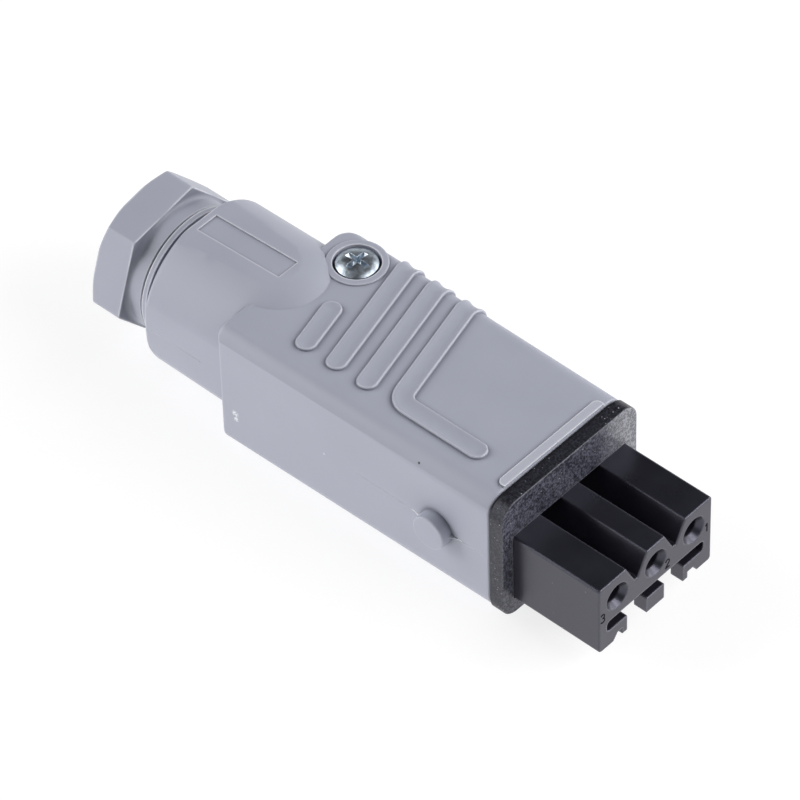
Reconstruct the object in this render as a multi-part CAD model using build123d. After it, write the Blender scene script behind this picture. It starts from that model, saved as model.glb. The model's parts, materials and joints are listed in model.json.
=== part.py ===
from build123d import *
import os
from math import atan, degrees, radians, sin, sqrt, tan

# Cable socket for a heavy duty industrial connector, in millimetres.
# +X is the mating direction, +Z is the ribbed top, and the cable axis is the X axis.
# The origin is on the cable axis in the plane of the housing's front edge.

# Housing body
body_length = 63.3
body_half_height = 13.8
rear_corner_radius = 2.2
front_corner_radius = 3.8
body_rear_radius = 0.9
body_wall = 2.35
front_edge_radius = 0.5

# Neck behind the body, a slightly drafted round with four flats and a rounded nose
neck_length = 19.7
neck_rim_radius = 16.4
neck_taper = 0.008
neck_straight = 18.5
nose_round = 17.7
nose_sweep = 45.0
flat_height_at_rim = 15.0
flat_rise = 0.0477
side_flat_at_rim = 15.4
side_flat_rise = 0.002
neck_rim_round = 1.2

# Plain recessed panel on the top flat of the neck
panel_length = 19.6
panel_width = 4.84
panel_depth = 0.25
panel_rim_distance = 1.4

# Slanted grip ribs with dished tops
rib_count = 4
rib_rear_margin = 12.15
rib_pitch = 7.15
rib_slope = -0.25
rib_width = 3.9
rib_rise = 0.6
rib_lip = 0.2
rib_lip_chamfer = 0.16
rib_dish = 0.35
rib_sink = 0.6
rib_near_margin = 7.6
rib_short_length = 8.65
rib_side_drop = 6.0
rib_leg_margin = 7.65
rib_leg_front_margin = 9.35
rib_turn_radius = 3.3

# Raised bar along the front edge of the top
bar_depth = 1.8
bar_front_gap = 0.15
bar_end_margin = 4.35
bar_rise = 0.4
bar_corner_radius = 1.2

# Locking studs on the two sides
stud_front_distance = 11.9
stud_z = -0.4
stud_radius = 3.45
stud_height = 2.5
stud_edge_radius = 0.35

# Fixing screw, its boss, seal and nut
screw_rear_distance = 7.85
screw_y = 10.65
boss_radius = 5.7
boss_rise = 0.35
boss_edge_radius = 0.2
counterbore_radius = 4.42
counterbore_depth = 3.2
column_radius = 5.6
screw_hole_radius = 2.2
screw_radius = 2.0
screw_length = 16.0
head_radius = 3.9
head_edge = 2.2
head_dome = 0.65
cross_length = 4.8
cross_width = 1.0
cross_depth = 1.5
seal_thickness = 0.7
seal_radius = 4.3
seal_hole_radius = 2.1
nut_side = 7.0
nut_thickness = 3.2
nut_top_drop = 3.0
thread_clearance = 0.05

# Gland nut
hex_across_flats = 27.0
hex_length = 7.4
hex_turn = 10.9
hex_gap_to_rim = 7.0
hex_rear_circle = 13.7
hex_front_circle = 15.2
hex_front_chamfer_run = 0.3
hex_edge_radius = 1.0
collar_step = 1.6
collar_length = 3.45
collar_root = 0.9
collar_chamfer = 0.15
ring_groove_step = 1.15
ring_groove_length = 0.4
ring_step = 1.8
ring_length = 1.1
shank_radius = 11.25
shank_reach = 8.0
shank_chamfer = 0.6
cable_bore_radius = 7.5
cable_bore_flare = 1.0

# Cable seal stack inside the neck
gland_clearance = 0.05
rim_countersink_clearance = 0.3
rim_countersink_depth = 1.4
washer_thickness = 1.0
washer_hole_radius = 7.2
stack_clearance = 0.2
bush_length = 8.0
bush_hole_radius = 6.6
bush_chamfer = 0.8
wire_hole_radius = 8.5

# Contact insert
contact_count = 3
contact_pitch = 10.0
contact_z = 0.6
insert_front = 22.6
finger_side_margin = 4.7
insert_top = 5.4
insert_bottom = -10.2
insert_edge_round = 0.5
insert_front_radius = 0.3
groove_edge_radius = 0.2
insert_clearance = 0.2
flange_thickness = 2.5
block_rear = -24.0
terminal_rear = -40.0
terminal_top = 8.5
groove_bottom_z = 0.9
groove_half_width = 2.7
groove_floor_half_width = 0.35
lead_in_radius = 2.8
lead_in_depth = 1.3
lip_radius = 1.95
lip_thickness = 2.0
contact_bore_radius = 3.05

# Earth slot and the hooks below it
slot_ceiling = -3.9
slot_floor = -6.45
slot_side_wall = 2.0
slot_end_round = 1.0
slot_rear = -6.0
hook_depth = 2.84
floor_thickness = 1.6
channel_side_wall = 3.5
hook_bottom = -9.95
hook_inner_y = 7.4
hook_nose_width = 1.1
hook_notch_top = -8.55
hook_notch_width = 1.4
hook_notch_slant = 1.2
centre_hook_half_width = 2.3
leg_corner_round = 0.8

# Socket contacts, springs and screw terminals
socket_radius = 3.0
socket_tip_radius = 2.25
socket_hole_radius = 1.75
socket_hole_depth = 15.0
socket_tip_length = 12.3
socket_slot_width = 0.6
socket_slot_length = 10.0
socket_lip_gap = 0.1
spring_wall = 0.4
spring_clearance = 0.02
spring_length = 7.0
spring_offset = 2.5
spring_gap = 0.8
pocket_width = 7.2
pocket_floor = -2.8
pocket_rear_wall = 1.5
terminal_width = 6.8
terminal_length = 12.0
terminal_gap = 1.5
terminal_block_top = 4.5
wire_bore_radius = 1.5
wire_bore_depth = 9.0
clamp_radius = 1.7
clamp_offset = 7.5
clamp_head_radius = 2.8
clamp_head_height = 1.8
clamp_head_lift = 0.5
clamp_slot_width = 0.8
clamp_slot_depth = 0.9
clamp_tip_above_axis = 0.9
guard_thickness = 0.5
guard_half_width = 1.05
guard_length = 6.0

# Earth strip and its terminal
strip_thickness = 0.8
strip_half_width = 4.5
strip_front = 14.0
strip_bow_start = 4.0
strip_bow = 0.9
strip_clearance = 0.1
earth_block_front = -42.0
earth_block_length = 10.0
earth_block_half_width = 3.4
earth_block_top = 2.5
earth_wire_z = -1.2
shelf_rear = -53.0
shelf_margin = 0.4
arm_clearance = 0.65
arm_inner_wall = 4.55
arm_side_gap = 0.4
arm_top = 6.2

# Front gasket
gasket_thickness = 3.3
gasket_overhang = 0.3
gasket_groove_depth = 0.6
gasket_groove_width = 0.5
gasket_edge_round = 0.2
gasket_hole_clearance = 0.05

# Derived places shared by several pieces
contact_ys = [contact_pitch * ((contact_count - 1) / 2 - k) for k in range(contact_count)]
insert_half_width = contact_ys[0] + finger_side_margin
cavity_half_width = insert_half_width + insert_clearance
body_half_width = cavity_half_width + body_wall
rim_x = -body_length - neck_length
shoulder_x = rim_x + neck_straight
cavity_top = body_half_height - body_wall
cavity_bottom = insert_bottom - insert_clearance
cavity_rear = -body_length + body_wall
rib_first_x = -body_length + rib_rear_margin
corner_growth = (front_corner_radius - rear_corner_radius) / body_length
rib_near_end_y = -body_half_width + rib_near_margin
rib_leg_y = -body_half_width + rib_leg_margin
screw_x = -body_length + screw_rear_distance
boss_top = body_half_height + boss_rise
counterbore_floor = boss_top - counterbore_depth
head_seat = counterbore_floor + seal_thickness
hex_front = rim_x - hex_gap_to_rim
hex_rear = hex_front - hex_length
collar_front = hex_front + collar_length
groove_front = collar_front + ring_groove_length
ring_front = groove_front + ring_length
shank_front = rim_x + shank_reach
bush_rear = shank_front + washer_thickness
bush_front = bush_rear + bush_length
seat_x = bush_front + washer_thickness
neck_bore_radius = shank_radius + gland_clearance
stack_radius = neck_bore_radius - stack_clearance
collar_radius = shank_radius + collar_step
ring_groove_radius = shank_radius + ring_groove_step
ring_radius = shank_radius + ring_step
rim_countersink_radius = ring_radius + rim_countersink_clearance
socket_front = insert_front - lead_in_depth - lip_thickness - socket_lip_gap
socket_shoulder = socket_front - socket_tip_length
terminal_front = block_rear - terminal_gap
terminal_back = terminal_front - terminal_length
clamp_x = terminal_front - clamp_offset
strip_top = slot_ceiling - strip_clearance
strip_bottom = strip_top - strip_thickness
earth_block_rear = earth_block_front - earth_block_length
earth_clamp_x = earth_block_front - earth_block_length / 2
shelf_half_width = strip_half_width + shelf_margin
channel_half_width = insert_half_width - channel_side_wall
arm_rear = cavity_rear + arm_clearance
arm_inner_y = screw_y - arm_inner_wall
arm_outer_y = insert_half_width - arm_side_gap


def slab(x0, x1, y0, y1, z0, z1):
    """Rectangular block between two corners."""
    centre = ((x0 + x1) / 2, (y0 + y1) / 2, (z0 + z1) / 2)
    return Pos(*centre) * Box(abs(x1 - x0), abs(y1 - y0), abs(z1 - z0))


def rod(x0, x1, radius, y=0.0, z=0.0):
    """Round bar along X."""
    return Pos((x0 + x1) / 2, y, z) * Rot(0, 90, 0) * Cylinder(radius, abs(x1 - x0))


def post(z0, z1, radius, x, y):
    """Round bar along Z."""
    return Pos(x, y, (z0 + z1) / 2) * Cylinder(radius, abs(z1 - z0))


def turned(outline):
    """Solid of revolution about the X axis from (x, radius) corners."""
    return revolve(Plane.XZ * make_face(Polyline(*outline, close=True)), Axis.X)


def ring_about_x(x0, x1, inner, outer):
    return rod(x0, x1, outer) - rod(x0 - 1, x1 + 1, inner)


def rib_section(stretch=1.0):
    """Rib cross-section: straight sides, chamfered lips and a dished top, drawn about the surface line."""
    half = rib_width / 2 * stretch
    chamfer = rib_lip_chamfer * stretch
    lip = (rib_lip_chamfer + rib_lip) * stretch
    sides = Polyline(
        (-half + lip, rib_rise),
        (-half + chamfer, rib_rise),
        (-half, rib_rise - rib_lip_chamfer),
        (-half, -rib_sink),
        (half, -rib_sink),
        (half, rib_rise - rib_lip_chamfer),
        (half - chamfer, rib_rise),
        (half - lip, rib_rise),
    )
    dish = Bezier((half - lip, rib_rise), (0, rib_rise - 2 * rib_dish), (-half + lip, rib_rise))
    return make_face(sides + dish)


def half_rib_section(stretch=1.0):
    """The rib section on one side of its centre line, for turning a rounded end."""
    half = rib_width / 2 * stretch
    chamfer = rib_lip_chamfer * stretch
    lip = (rib_lip_chamfer + rib_lip) * stretch
    floor = rib_rise - rib_dish
    sides = Polyline(
        (0, floor),
        (0, -rib_sink),
        (half, -rib_sink),
        (half, rib_rise - rib_lip_chamfer),
        (half - chamfer, rib_rise),
        (half - lip, rib_rise),
    )
    dish = Bezier((half - lip, rib_rise), ((half - lip) / 2, floor), (0, floor))
    return make_face(sides + dish)


def upright_plane(x, y, z, heading):
    """Plane across a horizontal heading, with its own y axis pointing up."""
    across = (heading[1], -heading[0], 0)
    return Plane(origin=(x, y, z), x_dir=across, z_dir=(-heading[0], -heading[1], 0))


def rib_end(x, y, heading):
    """Half-round end of a rib on the top face, closing a run that ends in the given heading."""
    plane = upright_plane(x, y, body_half_height, heading)
    return revolve(plane * half_rib_section(), Axis((x, y, 0), (0, 0, 1)), 180)


def rib_run(start, heading, length):
    """Straight run of rib on the top face."""
    plane = upright_plane(start[0], start[1], body_half_height, heading)
    return extrude(plane * rib_section(), amount=-length)


def corner_radius_at(x):
    """Radius of the body's long edges, which grows towards the front."""
    return front_corner_radius + corner_growth * x


def rib_over_edge(x, edge_y):
    """Rib carried round the far top edge and down the side, ending in a half round."""
    edge_z = body_half_height - (body_half_width - edge_y)
    stretch = sqrt(1 + rib_slope**2)
    plane = Plane(origin=(x, edge_y, body_half_height), x_dir=(1, 0, 0), z_dir=(0, -1, 0))
    bend = revolve(plane * rib_section(stretch), Axis((0, edge_y, edge_z), (1, 0, 0)), -90)
    side = Plane(origin=(x, body_half_width, edge_z), x_dir=(1, 0, 0), z_dir=(0, 0, 1))
    drop = extrude(side * rib_section(stretch), amount=-rib_side_drop)
    end_z = edge_z - rib_side_drop
    end = Plane(origin=(x, body_half_width, end_z), x_dir=(1, 0, 0), z_dir=(0, 0, 1))
    cap = revolve(end * half_rib_section(stretch), Axis((x, 0, end_z), (0, 1, 0)), 180)
    return bend + drop + cap


def rib_x(index, y):
    return rib_first_x + index * rib_pitch + rib_slope * y


def grip_ribs():
    """All slanted ribs: a short one, two that cross the far edge, and one that turns along the body."""
    slant = sqrt(1 + rib_slope**2)
    away = (rib_slope / slant, 1 / slant)
    ribs = []
    for index in range(rib_count):
        short = index == 0
        turning = index == rib_count - 1
        near_y = rib_near_end_y
        if turning:
            corner = (rib_x(index, rib_leg_y), rib_leg_y)
            heading_angle = degrees(atan(1 / -rib_slope))
            tangent = rib_turn_radius * tan(radians(heading_angle / 2))
            near_y = rib_leg_y + tangent * away[1]
            leg_start = (corner[0] + tangent, rib_leg_y)
            centre = (leg_start[0], rib_leg_y + rib_turn_radius)
            plane = upright_plane(*leg_start, body_half_height, (1, 0))
            ribs.append(revolve(plane * rib_section(), Axis((*centre, 0), (0, 0, 1)), -heading_angle))
            ribs.append(rib_run(leg_start, (1, 0), -rib_leg_front_margin - leg_start[0]))
            ribs.append(rib_end(-rib_leg_front_margin, rib_leg_y, (1, 0)))
        else:
            ribs.append(rib_end(rib_x(index, near_y), near_y, (-away[0], -away[1])))
        start = (rib_x(index, near_y), near_y)
        edge_y = body_half_width - corner_radius_at(rib_x(index, body_half_width))
        far_y = near_y + rib_short_length if short else edge_y + rib_width
        run = rib_run(start, away, (far_y - near_y) * slant)
        if short:
            ribs.append(run)
            ribs.append(rib_end(rib_x(index, far_y), far_y, away))
        else:
            keep = slab(-body_length, 0, -body_half_width, edge_y, 0, 2 * body_half_height)
            ribs.append(run & keep)
            ribs.append(rib_over_edge(rib_x(index, edge_y), edge_y))
    return ribs


def neck():
    """Round neck with its rounded rim and nose, trimmed by flats above, below and on both sides."""
    shoulder = (shoulder_x, neck_rim_radius + neck_taper * neck_straight)
    rim_inner = (rim_x, neck_rim_radius - neck_rim_round)
    rim_outer = (rim_x + neck_rim_round, neck_rim_radius)
    round_middle = neck_rim_round * (1 - sqrt(0.5))
    rim = ThreePointArc(rim_inner, (rim_x + round_middle, neck_rim_radius - round_middle), rim_outer)
    nose = JernArc(start=shoulder, tangent=(1, neck_taper), radius=nose_round, arc_size=-nose_sweep)
    tip = nose @ 1
    nose_x = tip.X
    inside = Polyline(tip, (nose_x, 0), (rim_x, 0), rim_inner)
    outline = make_face(inside + rim + Line(rim_outer, shoulder) + nose)
    solid = revolve(Plane.XZ * outline, Axis.X)
    run = nose_x - rim_x
    reach = 2 * nose_round
    top_at_nose = flat_height_at_rim + flat_rise * run
    side_at_nose = side_flat_at_rim + side_flat_rise * run
    flats = Polygon(
        (rim_x, -flat_height_at_rim),
        (nose_x, -top_at_nose),
        (nose_x, top_at_nose),
        (rim_x, flat_height_at_rim),
        align=None,
    )
    sides = Polygon(
        (rim_x, -side_flat_at_rim),
        (nose_x, -side_at_nose),
        (nose_x, side_at_nose),
        (rim_x, side_flat_at_rim),
        align=None,
    )
    solid &= extrude(Plane.XZ * flats, amount=reach, both=True)
    solid &= extrude(Plane.XY * sides, amount=reach, both=True)
    tilt = degrees(atan(flat_rise))
    panel_x = rim_x + panel_rim_distance + panel_length / 2
    panel_z = flat_height_at_rim + flat_rise * (panel_x - rim_x)
    panel = Box(panel_length, panel_width, 2 * panel_depth)
    return solid - Pos(panel_x, 0, panel_z) * Rot(0, -tilt, 0) * panel


def housing():
    """Moulded shell: body, neck, boss, ribs, bar and studs, hollow for the insert and the cable seal."""
    rear = RectangleRounded(2 * body_half_width, 2 * body_half_height, rear_corner_radius)
    front = RectangleRounded(2 * body_half_width, 2 * body_half_height, front_corner_radius)
    body = loft([Plane.YZ.offset(-body_length) * rear, Plane.YZ * front], ruled=True)
    body = fillet(body.faces().sort_by(Axis.X)[0].edges(), body_rear_radius)
    body = fillet(body.faces().sort_by(Axis.X)[-1].edges(), front_edge_radius)
    bar_plan = Rectangle(bar_depth, 2 * (body_half_width - bar_end_margin))
    bar_plan = fillet(bar_plan.vertices().group_by(Axis.X)[0], bar_corner_radius)
    bar_base = body_half_height - rib_sink
    bar_x = -bar_front_gap - bar_depth / 2
    bar = Pos(bar_x, 0, bar_base) * extrude(bar_plan, amount=rib_sink + bar_rise)
    boss = post(0, boss_top, boss_radius, screw_x, screw_y)
    boss = fillet(boss.edges().filter_by(GeomType.CIRCLE).sort_by(Axis.Z)[-1], boss_edge_radius)
    shell = body + neck() + bar + grip_ribs() + boss
    for side in (-1, 1):
        pin = Cylinder(stud_radius, 2 * stud_height)
        pin = fillet(pin.edges().filter_by(GeomType.CIRCLE), stud_edge_radius)
        shell += Pos(-stud_front_distance, side * body_half_width, stud_z) * Rot(90, 0, 0) * pin
    cavity = slab(cavity_rear, 1, -cavity_half_width, cavity_half_width, cavity_bottom, cavity_top)
    channel_bottom = -body_half_height + body_wall
    cavity += slab(cavity_rear, 1, -channel_half_width, channel_half_width, channel_bottom, 0)
    column = post(arm_top, body_half_height, column_radius, screw_x, screw_y)
    shell -= cavity - column
    shell -= post(counterbore_floor, boss_top + 1, counterbore_radius, screw_x, screw_y)
    shell -= post(0, boss_top, screw_hole_radius, screw_x, screw_y)
    shell -= turned(
        (
            (rim_x - 1, 0),
            (rim_x - 1, rim_countersink_radius),
            (rim_x, rim_countersink_radius),
            (rim_x + rim_countersink_depth, neck_bore_radius),
            (seat_x, neck_bore_radius),
            (seat_x, wire_hole_radius),
            (cavity_rear + 1, wire_hole_radius),
            (cavity_rear + 1, 0),
        )
    )
    return shell


def gland_nut():
    """Hollow hexagon pressure screw with collar, groove, ring and shank."""
    corner_radius = hex_across_flats / sqrt(3)
    hexagon = RegularPolygon(corner_radius, 6, rotation=hex_turn)
    hexagon = fillet(hexagon.vertices(), hex_edge_radius)
    prism = extrude(Plane.YZ * hexagon, amount=hex_length + collar_root)
    chamfer_run = (corner_radius - hex_rear_circle) / tan(radians(60))
    root_middle = collar_root * (1 - sqrt(0.5))
    edge = Polyline(
        (hex_length + collar_root, collar_radius),
        (hex_length + collar_root, 0),
        (0, 0),
        (0, hex_rear_circle),
        (chamfer_run, corner_radius),
        (hex_length - hex_front_chamfer_run, corner_radius),
        (hex_length, hex_front_circle),
        (hex_length, collar_radius + collar_root),
    )
    root = ThreePointArc(
        (hex_length, collar_radius + collar_root),
        (hex_length + root_middle, collar_radius + root_middle),
        (hex_length + collar_root, collar_radius),
    )
    head = Pos(hex_rear, 0, 0) * (prism & revolve(Plane.XZ * make_face(edge + root), Axis.X))
    stem = turned(
        (
            (hex_front, 0),
            (hex_front, collar_radius),
            (collar_front - collar_chamfer, collar_radius),
            (collar_front, collar_radius - collar_chamfer),
            (collar_front, ring_groove_radius),
            (groove_front, ring_groove_radius),
            (groove_front, ring_radius),
            (ring_front, ring_radius),
            (ring_front, shank_radius),
            (shank_front - shank_chamfer, shank_radius),
            (shank_front, shank_radius - shank_chamfer),
            (shank_front, 0),
        )
    )
    bore = turned(
        (
            (hex_rear - 1, 0),
            (hex_rear - 1, cable_bore_radius + cable_bore_flare),
            (hex_rear, cable_bore_radius + cable_bore_flare),
            (hex_rear + cable_bore_flare, cable_bore_radius),
            (shank_front + 1, cable_bore_radius),
            (shank_front + 1, 0),
        )
    )
    return head + stem - bore


def cable_seal():
    """Rubber bush with chamfered ends."""
    return turned(
        (
            (bush_rear, bush_hole_radius + bush_chamfer),
            (bush_rear, stack_radius - bush_chamfer),
            (bush_rear + bush_chamfer, stack_radius),
            (bush_front - bush_chamfer, stack_radius),
            (bush_front, stack_radius - bush_chamfer),
            (bush_front, bush_hole_radius + bush_chamfer),
            (bush_front - bush_chamfer, bush_hole_radius),
            (bush_rear + bush_chamfer, bush_hole_radius),
        )
    )


def front_gasket():
    """Rubber frame in front of the housing, with a groove beside the housing's edge."""
    half_width = body_half_width + gasket_overhang
    outer = RectangleRounded(2 * half_width, 2 * body_half_height, front_corner_radius)
    lip = extrude(Plane.YZ * outer, amount=gasket_thickness - gasket_groove_width)
    lip = fillet(lip.faces().sort_by(Axis.X)[-1].edges(), gasket_edge_round)
    web_width = 2 * (body_half_width - gasket_groove_depth)
    web_height = 2 * (body_half_height - gasket_groove_depth)
    web = RectangleRounded(web_width, web_height, front_corner_radius - gasket_groove_depth)
    frame = Pos(gasket_groove_width, 0, 0) * lip + extrude(Plane.YZ * web, amount=gasket_groove_width)
    hole_width = 2 * (insert_half_width + gasket_hole_clearance)
    hole_height = insert_top - insert_bottom + 2 * gasket_hole_clearance
    outline = RectangleRounded(hole_width, hole_height, insert_edge_round)
    hole = extrude(Plane.YZ * outline, amount=2 * gasket_thickness, both=True)
    hole = Pos(0, 0, (insert_top + insert_bottom) / 2) * hole
    return frame - hole


def finger_grooves():
    """Two V grooves between the three fingers, open at the front."""
    grooves = []
    for y in (-contact_pitch / 2, contact_pitch / 2):
        vee = Polygon(
            (y - groove_half_width, insert_top),
            (y - groove_floor_half_width, groove_bottom_z),
            (y + groove_floor_half_width, groove_bottom_z),
            (y + groove_half_width, insert_top),
            (y + groove_half_width, insert_top + 1),
            (y - groove_half_width, insert_top + 1),
            align=None,
        )
        grooves.append(extrude(Plane.YZ * vee, amount=insert_front + 1))
    return grooves


def hook_notch():
    """Space between one hook's nose and its side leg, open below, through the depth of the hooks."""
    nose_outer = hook_inner_y + hook_nose_width
    slant_start = nose_outer + hook_notch_width
    slant_end = slant_start + hook_notch_slant
    profile = Polygon(
        (nose_outer, insert_bottom - 1),
        (slant_end, insert_bottom - 1),
        (slant_end, insert_bottom),
        (slant_start, hook_notch_top),
        (nose_outer, hook_notch_top),
        align=None,
    )
    notch = extrude(Plane.YZ * profile, amount=hook_depth + 1)
    return Pos(insert_front - hook_depth, 0, 0) * notch


def insert_underside():
    """Everything cut from the insert's lower front: earth slot, open channel and the gaps between hooks."""
    slot_height = slot_ceiling - slot_floor
    slot_width = 2 * (insert_half_width - slot_side_wall)
    mouth = RectangleRounded(slot_width, slot_height, slot_end_round)
    slot = extrude(Plane.YZ * mouth, amount=insert_front - slot_rear + 1)
    floor_z = slot_floor - floor_thickness
    hook_rear = insert_front - hook_depth
    below = insert_bottom - 1
    cuts = Pos(slot_rear, 0, (slot_ceiling + slot_floor) / 2) * slot
    cuts += slab(slot_rear, hook_rear, -channel_half_width, channel_half_width, below, floor_z)
    gap = slab(hook_rear, insert_front + 1, centre_hook_half_width, hook_inner_y, below, slot_ceiling)
    beside = gap + hook_notch()
    cuts += beside
    cuts += mirror(beside, about=Plane.XZ)
    cuts += slab(hook_rear, insert_front + 1, -hook_inner_y, hook_inner_y, below, hook_bottom)
    return cuts


def contact_holes():
    """Lead-in, lip and bore for each contact."""
    holes = []
    lip_front = insert_front - lead_in_depth
    lip_rear = lip_front - lip_thickness
    for y in contact_ys:
        hole = turned(
            (
                (block_rear - 1, 0),
                (block_rear - 1, contact_bore_radius),
                (lip_rear, contact_bore_radius),
                (lip_rear, lip_radius),
                (lip_front, lip_radius),
                (insert_front, lead_in_radius),
                (insert_front + 1, lead_in_radius),
                (insert_front + 1, 0),
            )
        )
        holes.append(Pos(0, y, contact_z) * hole)
    return holes


def is_groove_edge(middle):
    """Whether an edge along X runs where a V groove meets the top of a finger."""
    return abs(middle.Z - insert_top) < groove_edge_radius and abs(middle.Y) < contact_pitch


def contact_insert():
    """Moulded contact carrier from the mating fingers back to the arm that holds the fixing nut."""
    height = insert_top - insert_bottom
    section = Rectangle(2 * insert_half_width, height)
    top_corners = section.vertices().group_by(Axis.Y)[-1]
    section = fillet(top_corners, insert_edge_round)
    bottom_corners = section.vertices().group_by(Axis.Y)[0]
    section = fillet(bottom_corners, leg_corner_round)
    middle = (insert_top + insert_bottom) / 2
    block = Pos(block_rear, 0, middle) * extrude(Plane.YZ * section, amount=insert_front - block_rear)
    block -= finger_grooves()
    long_edges = block.edges().filter_by(Axis.X)
    groove_edges = [edge for edge in long_edges if is_groove_edge(edge.center())]
    block = fillet(groove_edges, groove_edge_radius)
    front_edges = block.faces().sort_by(Axis.X)[-1].edges()
    block = fillet(front_edges, insert_front_radius)
    half_width = insert_half_width
    flange_top = cavity_top - insert_clearance
    block += slab(-flange_thickness, 0, -half_width, half_width, insert_bottom, flange_top)
    block += slab(terminal_rear, block_rear, -half_width, half_width, insert_bottom, terminal_top)
    block += slab(shelf_rear, terminal_rear, -shelf_half_width, arm_inner_y, insert_bottom, strip_bottom)
    block += slab(arm_rear, terminal_rear, arm_inner_y, arm_outer_y, insert_bottom, arm_top)
    for y in contact_ys:
        half = pocket_width / 2
        rear = terminal_rear + pocket_rear_wall
        block -= slab(rear, block_rear, y - half, y + half, pocket_floor, terminal_top + 1)
        block -= rod(terminal_rear - 1, rear + 1, wire_bore_radius, y, contact_z)
    block -= contact_holes()
    block -= insert_underside()
    strip_half = strip_half_width + strip_clearance
    block -= slab(shelf_rear - 1, slot_rear + 1, -strip_half, strip_half, strip_bottom, slot_ceiling)
    nut_top = arm_top - nut_top_drop
    nut_half = nut_side / 2 + thread_clearance
    nut_bottom = nut_top - nut_thickness - thread_clearance
    pocket = slab(-nut_half, nut_half, -nut_half, arm_outer_y - screw_y + 1, nut_bottom, nut_top)
    block -= Pos(screw_x, screw_y, 0) * pocket
    block -= post(head_seat - screw_length - 1, arm_top + 1, screw_hole_radius, screw_x, screw_y)
    return block


def contact_socket(y):
    """Turned socket with a slotted tip, and the milled terminal block behind it."""
    body = rod(terminal_front - 1, socket_shoulder, socket_radius, y, contact_z)
    body += rod(socket_shoulder, socket_front, socket_tip_radius, y, contact_z)
    half = terminal_width / 2
    body += slab(terminal_back, terminal_front, y - half, y + half, pocket_floor, terminal_block_top)
    body -= rod(socket_front - socket_hole_depth, socket_front + 1, socket_hole_radius, y, contact_z)
    slot_rear_x = socket_front - socket_slot_length
    half_slot = socket_slot_width / 2
    reach = 2 * socket_radius
    body -= slab(slot_rear_x, socket_front + 1, y - half_slot, y + half_slot, contact_z, contact_z + reach)
    body -= slab(slot_rear_x, socket_front + 1, y - half_slot, y + half_slot, contact_z - reach, contact_z)
    body -= rod(terminal_back - 1, terminal_back + wire_bore_depth, wire_bore_radius, y, contact_z)
    return body - post(contact_z, terminal_block_top + 1, clamp_radius + thread_clearance, clamp_x, y)


def socket_spring(y):
    """Split spring sleeve over the slotted tip."""
    front = socket_front - spring_offset
    rear = front - spring_length
    inner = socket_tip_radius + spring_clearance
    outer = inner + spring_wall
    sleeve = rod(rear, front, outer, y, contact_z) - rod(rear - 1, front + 1, inner, y, contact_z)
    half_gap = spring_gap / 2
    return sleeve - slab(rear - 1, front + 1, y - half_gap, y + half_gap, contact_z, contact_z + 2 * outer)


def clamp_screw(x, y, wire_z, seat_z):
    """Slotted clamping screw whose tip stands on the wire guard."""
    tip_z = wire_z + clamp_tip_above_axis
    head_base = seat_z + clamp_head_lift
    head_top = head_base + clamp_head_height
    screw = post(tip_z, head_base, clamp_radius, x, y)
    screw += post(head_base, head_top, clamp_head_radius, x, y)
    half_slot = clamp_slot_width / 2
    reach = 2 * clamp_head_radius
    slot = slab(-reach, reach, -half_slot, half_slot, head_top - clamp_slot_depth, head_top + 1)
    return screw - Pos(x, y, 0) * slot


def wire_guard(x, y, wire_z):
    """Thin leaf between a clamping screw and the wire."""
    top = wire_z + clamp_tip_above_axis
    half = guard_length / 2
    return slab(x - half, x + half, y - guard_half_width, y + guard_half_width, top - guard_thickness, top)


def earth_contact():
    """Flat earth strip with a bowed spring tip and a terminal block at its rear."""
    bow_middle = (strip_bow_start + strip_front) / 2
    rear = earth_block_rear
    start = strip_bow_start
    lower = Line((rear, strip_bottom), (start, strip_bottom))
    upper = Polyline((start, strip_top), (rear, strip_top), (rear, strip_bottom))
    dip = strip_bottom - strip_bow
    under = ThreePointArc((start, strip_bottom), (bow_middle, dip), (strip_front, strip_bottom))
    tip = Line((strip_front, strip_bottom), (strip_front, strip_top))
    over = ThreePointArc((strip_front, strip_top), (bow_middle, dip + strip_thickness), (start, strip_top))
    profile = make_face(lower + under + tip + over + upper)
    strip = extrude(Plane.XZ * profile, amount=strip_half_width, both=True)
    half = earth_block_half_width
    strip += slab(earth_block_rear, earth_block_front, -half, half, strip_top, earth_block_top)
    strip -= rod(earth_block_rear - 1, earth_block_rear + wire_bore_depth, wire_bore_radius, 0, earth_wire_z)
    return strip - post(earth_wire_z, earth_block_top + 1, clamp_radius + thread_clearance, earth_clamp_x, 0)


def fixing_screw():
    """Pan head screw with a cross recess."""
    edge_top = head_seat + head_edge
    dome_top = edge_top + head_dome
    dome = Polyline((0, dome_top), (0, head_seat), (head_radius, head_seat), (head_radius, edge_top))
    crown = ThreePointArc(
        (head_radius, edge_top), (head_radius * sin(radians(60)), edge_top + head_dome * 0.5), (0, dome_top)
    )
    head = revolve(Plane.XZ * make_face(dome + crown), Axis.Z)
    for turn in (0, 90):
        arm_shape = Polygon(
            (-cross_length / 2, dome_top + 1),
            (-cross_length / 2, dome_top),
            (-cross_width / 2, dome_top - cross_depth),
            (cross_width / 2, dome_top - cross_depth),
            (cross_length / 2, dome_top),
            (cross_length / 2, dome_top + 1),
            align=None,
        )
        head -= Rot(0, 0, turn) * extrude(Plane.XZ * arm_shape, amount=cross_width / 2, both=True)
    screw = head + post(head_seat - screw_length, head_seat, screw_radius, 0, 0)
    return Pos(screw_x, screw_y, 0) * screw


def fixing_nut():
    """Square nut in the pocket of the insert's arm."""
    top = arm_top - nut_top_drop
    half = nut_side / 2
    nut = slab(screw_x - half, screw_x + half, screw_y - half, screw_y + half, top - nut_thickness, top)
    return nut - post(top - 2 * nut_thickness, top + 1, screw_radius + thread_clearance, screw_x, screw_y)


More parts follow.
